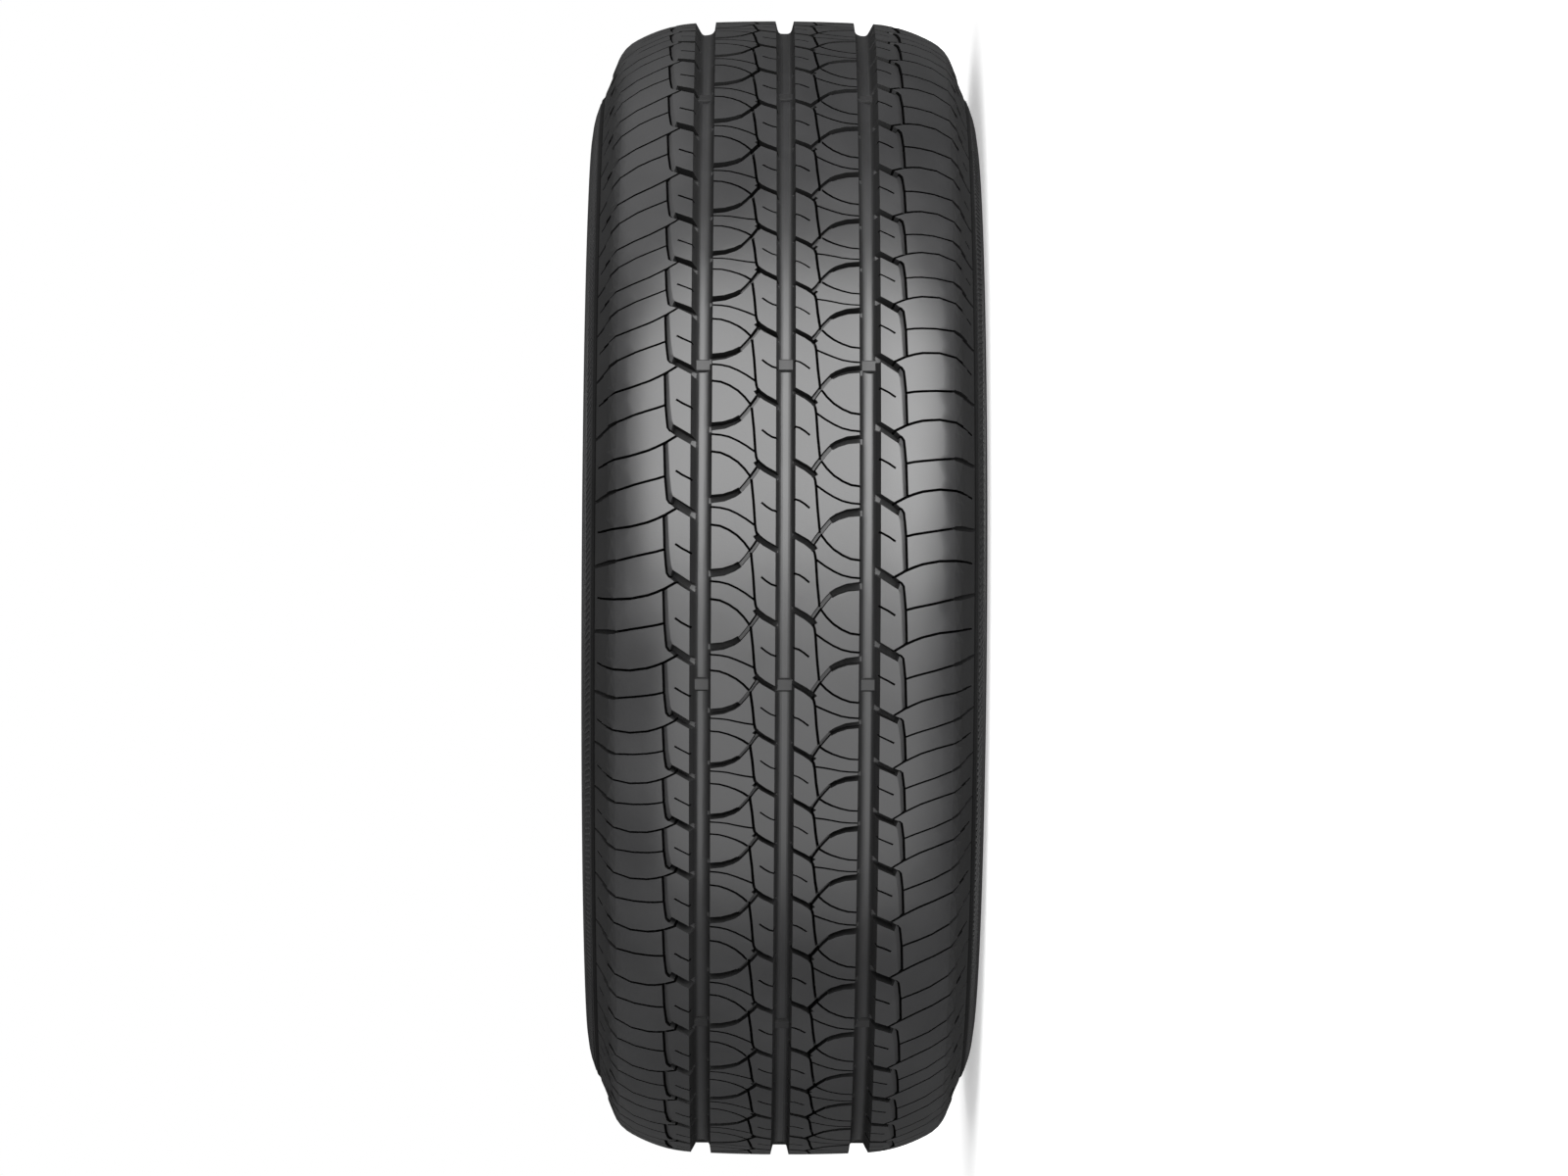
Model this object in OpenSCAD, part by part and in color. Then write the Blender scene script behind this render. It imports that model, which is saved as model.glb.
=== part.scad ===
// Radial van tyre with a four-rib tread, lying in the frame of its own axle:
// Z is the axle, the origin is the wheel centre, and the sidewalls face up and down.

/* [Tyre size] */
// Overall diameter of the new tyre
outer_d = 712; // [700:1:724]
// Section width over the sidewalls
section_w = 240; // [234:1:246]
// Bead seat diameter
bead_d = 405.6; // [404:0.1:407]
// Distance between the outer faces of the beads, which is the rim width
rim_w = 178; // [172:1:184]

/* [Casing] */
// Thickness of the crown, from the tread surface to the inner liner
crown_gauge = 16; // [14:0.5:18]
// Thickness of the casing at the shoulder, where the tread is thickest
shoulder_gauge = 19; // [17:0.5:22]
// Thickness of the sidewall at its widest point
sidewall_gauge = 8.5; // [6:0.5:11]
// Width of the bead base, from heel to toe
bead_w = 21; // [18:0.5:24]
// Height of the upright bead faces above the seat
bead_h = 6; // [4:0.5:10]
// Radius of the bead heel
heel_r = 3; // [1:0.5:4]
// Chamfer of the bead toe
toe_chamfer = 1.5; // [0.5:0.5:3]
// Width of the flat band at the widest point of the sidewall
flat_band_w = 8; // [4:1:14]
// Height of the flat band's middle, as a radius
widest_r = 272; // [266:1:278]
// Height of the rim guard, the rib that shields the rim's edge from kerbs
rim_guard_h = 2.4; // [1:0.2:3.4]
// Height of the fitting line, the thin ring that shows that the bead sits evenly
fitting_line_h = 0.8; // [0.4:0.1:1.2]

/* [Crown] */
// Radius of the tread across its middle
crown_r = 1100; // [800:50:1600]
// Distance from the centre line to where the flat crown ends
crown_edge = 55; // [53:1:58]
// Radius of the tread between the flat crown and the shoulder
edge_r = 76; // [70:1:90]
// Distance from the centre line to the start of the shoulder curve
shoulder_start = 93; // [90:1:95]
// Radius of the shoulder curve
shoulder_r = 24; // [20:1:27]
// Steepness of the buttress below the shoulder, in degrees
buttress_angle = 68; // [66:1:70]
// Length of the straight buttress
buttress_len = 20; // [16:1:24]
// Depth of the sunk panel that runs round the buttress
panel_depth = 0.9; // [0.5:0.1:1.4]
// Margin of plain buttress above the sunk panel
panel_margin = 5; // [3:0.5:7]

/* [Main grooves] */
// Depth of the main grooves
groove_depth = 7.8; // [6:0.2:9]
// Distance from the centre line to the inner edge of an outer main groove
outer_groove_pos = 43; // [42.6:0.1:43.4]
// Width of an outer main groove at the tread surface
outer_groove_w = 12.5; // [12:0.1:13]
// Width of the centre main groove at the tread surface
centre_groove_w = 11.4; // [10.8:0.1:12]
// Width that the outer wall of an outer main groove takes up, as it slopes
outer_wall_run = 4; // [3:0.1:4.6]
// Width that every other main groove wall takes up
inner_wall_run = 2.6; // [2:0.1:3.2]
// Chamfer between groove wall and groove floor
groove_fillet = 1.2; // [0.6:0.1:1.6]
// Distance from the centre line to the narrow groove in the shoulder
slot_pos = 70; // [69:0.1:71]
// Width of the narrow shoulder groove
slot_w = 1.1; // [0.9:0.1:1.4]
// Depth of the narrow shoulder groove
slot_depth = 5; // [3:0.1:6]
// Number of rows of wear indicators round the tyre
wear_rows = 10; // [6:1:12]
// Height of a wear indicator above the groove floor
wear_bar_h = 1.6; // [1.2:0.1:2]
// Length of a wear indicator round the tyre
wear_bar_len = 8; // [6:1:10]

/* [Tread pitches] */
// Order of the tread pitches round the tyre, from long, middle and short ones
pitch_order = "MLLLMSSSMLLLLMSSMLLLMSSMLLLMSSSSMLLLMSSMLLLLMSSSMLLLMSSMLL";
// Length of the long pitch, to which the cross grooves are drawn
long_pitch = 43; // [43]
// Length of the middle pitch
middle_pitch = 38; // [36:0.5:40]
// Length of the short pitch
short_pitch = 32.5; // [31:0.5:35]

/* [Cross grooves] */
// Width of the centre lug grooves
lug_w = 3.4; // [2.4:0.1:3.8]
// Width of the curved grooves at the outer main groove
arc_w = 4.8; // [3.6:0.1:5]
// Width of the curved grooves at their inner end
arc_tail_w = 2.4; // [1.8:0.1:2.8]
// Width of the shoulder lug grooves
shoulder_lug_w = 5.4; // [4:0.1:6]
// Depth of the lug and curved grooves
lug_depth = 6.2; // [4.5:0.1:6.6]
// Width of the sipes
sipe_w = 0.8; // [0.6:0.1:1.2]
// Depth of the arched sipes
sipe_depth = 4.5; // [3:0.1:6]
// Depth of the sipes that run out over the shoulder, at the middle of their length
shoulder_sipe_depth = 5.6; // [4.5:0.1:6.4]

/* [Hidden] */
$fn = 96;

crown_rad = outer_d / 2;
half_w = section_w / 2;
bead_rad = bead_d / 2;
heel_z = rim_w / 2;

// Radius of the tread at a distance z from the centre line
function edge_slope() = crown_edge / crown_r;
function tread_radius(z) = crown_rad - (abs(z) <= crown_edge
    ? z * z / (2 * crown_r)
    : crown_edge * crown_edge / (2 * crown_r) + edge_slope() * (abs(z) - crown_edge)
        + pow(abs(z) - crown_edge, 2) / (2 * edge_r));

// Point of a cubic curve at t from 0 to 1
function cubic(p, t) = pow(1 - t, 3) * p[0] + 3 * t * pow(1 - t, 2) * p[1]
    + 3 * t * t * (1 - t) * p[2] + pow(t, 3) * p[3];
function curve(p, steps) = [for (i = [1:steps]) cubic(p, i / steps)];
function reversed(list) = [for (i = [len(list) - 1:-1:0]) list[i]];
function mirrored(list) = [for (p = list) [-p[0], p[1]]];

// The section is drawn as [z, radius] points, on the side where z is positive
crown_steps = 2;
shoulder_start_angle = atan(edge_slope() + (shoulder_start - crown_edge) / edge_r);
shoulder_centre = [shoulder_start - shoulder_r * sin(shoulder_start_angle),
    tread_radius(shoulder_start) - shoulder_r * cos(shoulder_start_angle)];
shoulder_end = shoulder_centre + shoulder_r * [sin(buttress_angle), cos(buttress_angle)];
buttress_dir = [cos(buttress_angle), -sin(buttress_angle)];
buttress_end = shoulder_end + buttress_len * buttress_dir;
band_top = [half_w, widest_r + flat_band_w / 2];
band_bottom = [half_w, widest_r - flat_band_w / 2];
bead_top = [heel_z, bead_rad + heel_r + bead_h];

// Sunk panel on the buttress: its edges step in square to the buttress
panel_in = panel_depth * [-sin(buttress_angle), -cos(buttress_angle)];
panel_top = shoulder_end + panel_margin * buttress_dir;
panel_low = buttress_end - buttress_dir;

// Sidewall from the flat band down to the bead, as points at t from 0 to 1 that stand proud by a height
lower_wall = [band_bottom, band_bottom - [0, 0.55 * (band_bottom[1] - bead_top[1])],
    bead_top + [0, 0.35 * (band_bottom[1] - bead_top[1])], bead_top];
function lower_wall_out(t) = let (d = cubic(lower_wall, t + 0.01) - cubic(lower_wall, t - 0.01))
    [-d[1], d[0]] / norm(d);
function proud_point(t, height) = cubic(lower_wall, t) + height * lower_wall_out(t);

function main_groove(from, to, from_run, to_run) = [for (p = [[from, 0], [from + from_run, groove_fillet],
        [from + from_run + groove_fillet, 0], [to - to_run - groove_fillet, 0], [to - to_run, groove_fillet], [to, 0]])
    [p[0], p[0] == from || p[0] == to ? tread_radius(p[0]) : tread_radius((from + to) / 2) - groove_depth + p[1]]];

outer_groove_end = outer_groove_pos + outer_groove_w;
rib_middle = (centre_groove_w / 2 + outer_groove_pos) / 2;
outer_section = concat(
    [for (p = main_groove(-centre_groove_w / 2, centre_groove_w / 2, inner_wall_run, inner_wall_run))
        if (p[0] > 0) p],
    [[rib_middle, tread_radius(rib_middle)]],
    main_groove(outer_groove_pos, outer_groove_end, inner_wall_run, outer_wall_run),
    [for (p = [[-slot_w, 0], [-slot_w, slot_depth], [slot_w, slot_depth], [slot_w, 0]])
        [slot_pos + p[0] / 2, tread_radius(slot_pos + p[0] / 2) - p[1]]],
    [for (i = [1:crown_steps]) let (z = slot_pos + (shoulder_start - slot_pos) * i / crown_steps)
        [z, tread_radius(z)]],
    [for (i = [1:4]) let (a = shoulder_start_angle + (buttress_angle - shoulder_start_angle) * i / 4)
        shoulder_centre + shoulder_r * [sin(a), cos(a)]],
    [panel_top, panel_top + panel_in, panel_low + panel_in, panel_low, buttress_end],
    curve([buttress_end, buttress_end + 0.3 * (buttress_end[1] - band_top[1]) * buttress_dir,
        band_top + [0, 0.5 * (buttress_end[1] - band_top[1])], band_top], 5),
    [band_bottom],
    [for (t = [0.1:0.1:0.4]) proud_point(t, 0)],
    [for (p = [[0.44, 0.7], [0.48, 0.95], [0.56, 1], [0.61, 0.85], [0.65, 0.1]]) proud_point(p[0], p[1] * rim_guard_h)],
    [for (t = [0.7, 0.8, 0.86]) proud_point(t, 0)],
    [for (t = [0.865, 0.885]) proud_point(t, fitting_line_h)],
    [for (t = [0.89, 0.95]) proud_point(t, 0)],
    [bead_top],
    [for (a = [0:30:90]) [heel_z - heel_r + heel_r * cos(a), bead_rad + heel_r - heel_r * sin(a)]]);

toe_z = heel_z - bead_w;
liner_z = shoulder_start - shoulder_gauge;
liner_r = tread_radius(shoulder_start) - shoulder_gauge;
liner_band = [half_w - sidewall_gauge, widest_r];
liner_bead = [toe_z, bead_rad + heel_r + bead_h];
inner_section = concat(
    [[toe_z + toe_chamfer, bead_rad], [toe_z, bead_rad + toe_chamfer], liner_bead],
    curve([liner_bead, liner_bead + [0, 0.45 * (widest_r - liner_bead[1])],
        liner_band - [0, 0.45 * (widest_r - liner_bead[1])], liner_band], 8),
    curve([liner_band, liner_band + [0, 0.55 * (liner_r - widest_r)],
        [liner_z, liner_r] + [0.7 * (liner_band[0] - liner_z), -2], [liner_z, liner_r]], 7),
    [for (i = [1:2]) let (z = liner_z * (1 - i / 2)) [z, crown_rad - crown_gauge
        - (crown_rad - crown_gauge - liner_r) * pow(z / liner_z, 2)]]);

module casing() {
    half = concat(outer_section, inner_section);
    other = mirrored([for (i = [0:len(half) - 2]) half[i]]);
    rotate_extrude() polygon([for (p = concat(half, reversed(other))) [p[1], p[0]]]);
}

// Pitch positions round the tyre: the angle at which each pitch starts
ref = long_pitch;
function pitch_len(c) = c == "L" ? long_pitch : c == "M" ? middle_pitch : short_pitch;
pitches = len(pitch_order);
pitch_sum = [for (i = 0, s = 0; i <= pitches; s = s + (i < pitches ? pitch_len(pitch_order[i]) : 0), i = i + 1) s];
pitch_table = [for (i = [0:pitches]) [i, 360 * pitch_sum[i] / pitch_sum[pitches]]];
first_pitch_angle = 209.6;
// The first three rows of wear indicators have their own angles, and the rest are spread over what is left
first_wear_angles = [221.7, 260.7, 291.9];
function wear_angle(i) = i < 3 ? first_wear_angles[i]
    : first_wear_angles[2] + (i - 2) * (360 + first_wear_angles[0] - first_wear_angles[2]) / (wear_rows - 2);
function ring_angle(t) = first_pitch_angle + 360 * floor(t / pitches)
    + lookup(t - pitches * floor(t / pitches), pitch_table);

// Outline of a groove along a line of points, with a width for each point
function unit(v) = v / norm(v);
function left_of(v) = [-v[1], v[0]];
function joint_normal(line, i) = unit(left_of(unit(line[min(i + 1, len(line) - 1)] - line[max(i - 1, 0)])));
function ribbon(line, widths) = concat(
    [for (i = [0:len(line) - 1]) line[i] - joint_normal(line, i) * widths[i] / 2],
    reversed([for (i = [0:len(line) - 1]) line[i] + joint_normal(line, i) * widths[i] / 2]));
function even(line, width) = [for (p = line) width];
function narrowing(line, from, to) = [for (i = [0:len(line) - 1]) from + (to - from) * i / (len(line) - 1)];

// The cross grooves of one pitch are drawn at full pitch length as [distance from the centre line,
// distance round the tyre]. The other half of the tread is the same drawing turned by half a turn.
turn_centre = 17.7;
clear = 3;

function crown_slope(z) = abs(z) <= crown_edge ? abs(z) / crown_r
    : edge_slope() + (abs(z) - crown_edge) / edge_r;

module cut(line, widths, depth, pitch, side) {
    xs = [for (p = line) side * p[0]];
    x = (min(xs) + max(xs)) / 2;
    lean = sign(x) * atan(crown_slope(x));
    ts = [for (p = line) pitch + (turn_centre + side * p[1]) / ref];
    middle = ring_angle((min(ts) + max(ts)) / 2);
    flat = [for (i = [0:len(line) - 1]) [(xs[i] - x) / cos(lean), tread_radius(x) * tan(ring_angle(ts[i]) - middle)]];
    rotate([0, 0, middle]) rotate([0, 90, 0]) translate([x, 0, tread_radius(x)]) rotate([0, lean, 0])
        translate([0, 0, -depth]) linear_extrude(depth + clear)
            polygon(ribbon(flat, widths));
}

// Stretch of an ellipse about the outer groove's inner edge, from one distance to another
function arc_line(top, half_wide, high, from_x, to_x, steps) = [for (i = [0:steps])
    let (x = from_x + (to_x - from_x) * i / steps) [x, top - high * (1 - sqrt(1 - pow((x + 44) / half_wide, 2)))]];

// The centre lug runs on as a narrow sipe to the curved groove of the next pitch
lug_line = [[-2.5, -5.8], [-10, -2.1], [-16.6, 4.1], [-20, 37.6]];
lug_widths = [lug_w, lug_w, lug_w / 2, sipe_w];
curved_line = arc_line(-18.1, 29, -26, -46, -16.4, 3);
arched_sipe = arc_line(10.2, 30, 38, -46, -19.4, 3);
shoulder_lug = [[-52, -27.6], [-67.3, -18.1]];
shoulder_sipe = [[-62, 20.5], [-76, 13.3], [-101, 9.3]];

module pitch_cuts(pitch, side) {
    cut(lug_line, lug_widths, lug_depth, pitch, side);
    cut(curved_line, narrowing(curved_line, arc_w, arc_tail_w), lug_depth, pitch, side);
    cut(shoulder_lug, even(shoulder_lug, shoulder_lug_w), lug_depth, pitch, side);
    cut(arched_sipe, even(arched_sipe, sipe_w), sipe_depth, pitch, side);
    cut(shoulder_sipe, even(shoulder_sipe, sipe_w), shoulder_sipe_depth, pitch, side);
}

// A row of wear indicators, one in each main groove, with its ends and its foot sunk in the rubber
module wear_row() {
    sunk = 0.8;
    for (z = [0, -1, 1]) {
        from = (z == 0 ? -centre_groove_w / 2 : outer_groove_pos) + inner_wall_run - sunk;
        to = z == 0 ? -from : outer_groove_end - outer_wall_run + sunk;
        floor_r = tread_radius(z == 0 ? 0 : outer_groove_pos + outer_groove_w / 2) - groove_depth;
        mirror([0, 0, z < 0 ? 1 : 0])
            translate([floor_r - sunk, -wear_bar_len / 2, from]) cube([wear_bar_h + sunk, wear_bar_len, to - from]);
    }
}

module tyre() {
    color([0.09, 0.09, 0.095]) {
        difference() {
            casing();
            for (pitch = [0:pitches - 1], side = [-1, 1]) pitch_cuts(pitch, side);
        }
        for (i = [0:wear_rows - 1]) rotate([0, 0, wear_angle(i)]) wear_row();
    }
}

tyre();
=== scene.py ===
"""Van tyre: one moulded piece, its tread drawn once and carried round the ring by Geometry Nodes."""
import copy
import math

import bpy
import numpy as np
from mathutils import Matrix, Vector
from mathutils.geometry import delaunay_2d_cdt


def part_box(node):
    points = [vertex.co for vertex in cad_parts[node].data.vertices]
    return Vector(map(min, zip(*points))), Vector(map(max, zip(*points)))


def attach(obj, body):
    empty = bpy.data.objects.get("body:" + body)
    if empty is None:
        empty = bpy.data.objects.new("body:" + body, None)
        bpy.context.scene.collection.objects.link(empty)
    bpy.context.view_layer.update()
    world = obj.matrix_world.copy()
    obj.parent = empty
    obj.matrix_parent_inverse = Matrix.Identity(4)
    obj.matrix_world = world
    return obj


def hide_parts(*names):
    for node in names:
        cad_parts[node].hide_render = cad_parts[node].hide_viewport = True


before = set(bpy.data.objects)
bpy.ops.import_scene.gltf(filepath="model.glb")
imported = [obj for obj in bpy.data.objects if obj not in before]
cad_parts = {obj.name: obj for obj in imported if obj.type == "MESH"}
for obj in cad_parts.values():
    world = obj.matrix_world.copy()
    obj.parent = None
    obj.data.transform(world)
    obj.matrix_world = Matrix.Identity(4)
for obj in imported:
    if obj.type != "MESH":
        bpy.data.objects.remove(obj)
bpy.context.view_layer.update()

bl_info = {
    "name": "Van Tyre",
    "version": (1, 0, 0),
    "blender": (4, 5, 0),
    "location": "View3D > Sidebar > Tyre",
    "description": "Builds a van tyre with a ribbed highway tread on its CAD frame",
    "category": "Object",
}

MM = 0.001
NODE = "tyre"
BODY = "root"
RUBBER = "tyre_rubber"
LOW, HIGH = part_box(NODE)
OUTER_DIAMETER = HIGH[0] - LOW[0]
SECTION_WIDTH = HIGH[2] - LOW[2]
OUTER_RADIUS_MM = 500.0 * OUTER_DIAMETER
HALF_WIDTH_MM = 500.0 * SECTION_WIDTH

# The tread is drawn flat, in millimetres, for a pitch of this length.
# A point is (distance from the centre line, distance round the tyre).
DRAWN_PITCH = 43.0
# The other half of the tread is the drawing turned by half a turn about this distance.
TURN_AT = 26.5
PITCH_ORDER = "MLLLMSSSMLLLLMSSMLLLMSSMLLLMSSSSMLLLMSSMLLLLMSSSMLLLMSSMLL"
PITCH_LENGTHS = {"L": 43.0, "M": 38.0, "S": 31.8}
# Angle that a millimetre of pitch length takes up round the tyre
RING_ANGLE = 2.0 * math.pi / sum(PITCH_LENGTHS[letter] for letter in PITCH_ORDER)
# Angle at which the first pitch starts, and the distance in the drawing at which every pitch starts
FIRST_PITCH = math.radians(208.85)
PITCH_START = TURN_AT - DRAWN_PITCH / 2
PITCH_END = PITCH_START + DRAWN_PITCH
# A pitch starts along the arc, the lugs and a shoulder sipe, so its edge runs ahead of the start by these
# distances. They stay the same in pitches of every length, and are the opposite on the other half.
PITCH_EDGE = ((0.0, 0.0), (5.7, 17.5), (12.0, 21.0), (16.5, 23.5), (20.4, 15.6), (26.4, 8.8), (30.0, 6.6),
              (36.0, 4.4), (43.0, 3.6), (49.3, -1.5), (51.5, -6.0), (57.0, -3.5), (62.6, -1.0), (70.0, -5.5),
              (80.0, -9.5), (90.0, -11.6), (100.0, -12.2))
COLUMNS = 2
COLUMN_LINES = np.linspace(PITCH_START, PITCH_END, COLUMNS + 1)
# Rows of points that each pitch has on the block tops, and how far they stay from the lines of the drawing
GRID_ROWS = 3
GRID_CLEARANCE = 1.3
# Distance within which points of the drawing are one, and in metres, that within which points of the tyre
# are one and a face counts as level
JOIN = 1e-4
MERGED = LEVEL = 2e-5
SHARP_ANGLE = math.radians(32.0)

# The section, in millimetres. The crown and the shoulder are parabolas, given by the radius of their middles.
CROWN_RADIUS = 1100.0
SHOULDER_FROM, SHOULDER_SLOPE, SHOULDER_RADIUS = 55.0, 0.05, 76.0
# Where the round edge of the shoulder starts, its radius, and the buttress below it
ROUND_FROM, ROUND_RADIUS = 93.0, 24.0
BUTTRESS_ANGLE, BUTTRESS_LENGTH = math.radians(68.0), 20.0
# Radii between which the tyre is widest
WIDEST_HIGH, WIDEST_LOW = 276.0, 268.0
# The bead as (distance from the centre line, radius): the end of its face, its round heel, and its toe
BEAD_FACE = (89.0, 211.8)
HEEL_MIDDLE, HEEL_RADIUS = (86.0, 205.8), 3.0
HEEL_ANGLES = (0.0, 22.5, 45.0, 67.5, 90.0)
TOE = ((69.5, 202.8), (68.0, 204.3), (68.0, 211.8))
# The inside: thickness of the sidewall and the crown, the radius where the inside is widest, the edge of its
# crown, and the radius at the middle
SIDEWALL_THICKNESS, CROWN_THICKNESS = 8.5, 19.0
LINER_WIDEST, LINER_EDGE, LINER_MIDDLE = 272.0, 74.0, 340.0
# Number of points on the buttress, the upper sidewall, and the two stretches of the liner's side
BUTTRESS_STEPS, SIDEWALL_STEPS, LINER_STEPS = 11, 20, (16, 14)


def tread_radius(z):
    """Radius of the tread surface, in millimetres, at a distance z from the centre line."""
    z = abs(z)
    if z <= SHOULDER_FROM:
        return OUTER_RADIUS_MM - z * z / (2.0 * CROWN_RADIUS)
    past = z - SHOULDER_FROM
    drop = SHOULDER_FROM ** 2 / (2.0 * CROWN_RADIUS) + SHOULDER_SLOPE * past
    return OUTER_RADIUS_MM - (drop + past ** 2 / (2.0 * SHOULDER_RADIUS))


def bezier(p0, p1, p2, p3, steps):
    """Points of a cubic curve after its first one."""
    p0, p1, p2, p3 = (np.array(p, float) for p in (p0, p1, p2, p3))
    ts = np.linspace(0.0, 1.0, steps + 1)[1:, None]
    return list((1 - ts) ** 3 * p0 + 3 * ts * (1 - ts) ** 2 * p1 + 3 * ts ** 2 * (1 - ts) * p2 + ts ** 3 * p3)


def half_section():
    """Half the section as (z, radius), from the crown over sidewall and bead to the liner's middle."""
    half = HALF_WIDTH_MM
    pts = [np.array((z, tread_radius(z))) for z in np.arange(0.0, ROUND_FROM, 1.5)]
    pts.append(np.array((ROUND_FROM, tread_radius(ROUND_FROM))))
    start = math.atan(SHOULDER_SLOPE + (ROUND_FROM - SHOULDER_FROM) / SHOULDER_RADIUS)
    centre = pts[-1] - ROUND_RADIUS * np.array((math.sin(start), math.cos(start)))
    for a in np.linspace(start, BUTTRESS_ANGLE, 15)[1:]:
        pts.append(centre + ROUND_RADIUS * np.array((math.sin(a), math.cos(a))))
    fall = np.array((math.cos(BUTTRESS_ANGLE), -math.sin(BUTTRESS_ANGLE)))
    shoulder_end = pts[-1]
    for d in np.linspace(0.0, BUTTRESS_LENGTH, BUTTRESS_STEPS + 1)[1:]:
        pts.append(shoulder_end + d * fall)
    low = pts[-1]
    height = low[1] - WIDEST_HIGH
    pts += bezier(low, low + 0.3 * height * fall, (half, WIDEST_HIGH + 0.5 * height), (half, WIDEST_HIGH),
                  SIDEWALL_STEPS)
    pts.append(np.array((half, WIDEST_LOW)))
    height = WIDEST_LOW - BEAD_FACE[1]
    pts += bezier((half, WIDEST_LOW), (half, WIDEST_LOW - 0.55 * height),
                  (BEAD_FACE[0], BEAD_FACE[1] + 0.35 * height), BEAD_FACE, 36)
    for a in np.radians(HEEL_ANGLES):
        pts.append(np.array(HEEL_MIDDLE) + HEEL_RADIUS * np.array((math.cos(a), -math.sin(a))))
    pts += [np.array(p) for p in TOE]
    side, inner = half - SIDEWALL_THICKNESS, tread_radius(ROUND_FROM) - CROWN_THICKNESS
    height = LINER_WIDEST - TOE[-1][1]
    pts += bezier(TOE[-1], (TOE[-1][0], TOE[-1][1] + 0.45 * height), (side, LINER_WIDEST - 0.45 * height),
                  (side, LINER_WIDEST), LINER_STEPS[0])
    pts += bezier((side, LINER_WIDEST), (side, LINER_WIDEST + 0.55 * (inner - LINER_WIDEST)),
                  (LINER_EDGE + 0.7 * (side - LINER_EDGE), inner - 2.0), (LINER_EDGE, inner), LINER_STEPS[1])
    for z in (60.0, 45.0, 30.0, 15.0, 0.0):
        pts.append(np.array((z, LINER_MIDDLE - (LINER_MIDDLE - inner) * (z / LINER_EDGE) ** 2)))
    return np.array(pts)


HALF = half_section()
HALF_LENGTH = np.concatenate(([0.0], np.cumsum(np.linalg.norm(np.diff(HALF, axis=0), axis=1))))
LAST_OUTER = int(np.argmax(HALF[:, 0] >= HALF_WIDTH_MM - 0.001))


def along(z):
    """Distance along the section, in millimetres, of the tread or buttress point at z."""
    return math.copysign(np.interp(abs(z), HALF[:LAST_OUTER, 0], HALF_LENGTH[:LAST_OUTER]), z)


def along_radius(radius):
    """Distance along the section of the sidewall point at a radius, between buttress and bead."""
    a = LAST_OUTER - SIDEWALL_STEPS - BUTTRESS_STEPS
    b = int(np.argmin(np.abs(HALF[:, 1] - HEEL_MIDDLE[1])))
    return float(np.interp(-radius, -HALF[a:b, 1], HALF_LENGTH[a:b]))


EDGE_AT = np.array([along(z) for z, _ in PITCH_EDGE])
EDGE_AHEAD = np.array([ahead for _, ahead in PITCH_EDGE])


def edge_ahead(at):
    """How far the edge of a pitch runs ahead of its start, at places along the section."""
    return np.copysign(1.0, at) * np.interp(np.abs(at), EDGE_AT, EDGE_AHEAD)


def flat(points):
    """Points given as (distance from the centre line, distance round), laid along the section."""
    return np.array([(along(z), s) for z, s in points])


def placed(points, turn, by):
    """Points of the drawing moved round the tyre, turned to the other half first if turn is true."""
    return (points * (-1, -1) + (0, 2 * TURN_AT) if turn else points) + (0, by)


def spread(values, count):
    """Values spread evenly over a number of points."""
    return np.interp(np.arange(count), np.linspace(0, count - 1, np.size(values)), np.atleast_1d(values))


# A shade is painted shade: how dark and dull the rubber is painted where shade falls, from the tops of the
# tread blocks at 0 to the grooves at 1. The buttress's painted shade grows from a distance off the centre
# line, and fades down the sidewall as (radius, shade), so that the lower sidewall is painted lighter.
SIDEWALL_SHADE, SHADE_FROM, SHADE_RUN = 0.5, 97.0, 12.0
SIDEWALL_FADE = ((262.0, 0.08), (284.0, 0.3), (306.0, SIDEWALL_SHADE))
# A cut shallower than this, in millimetres, keeps the shade of what lies round it.
SHADED_DEPTH = 0.05
# Share of a wall's width up to which it has its own shade and not that of the floor
WALL_SHARE = 0.95


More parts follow.
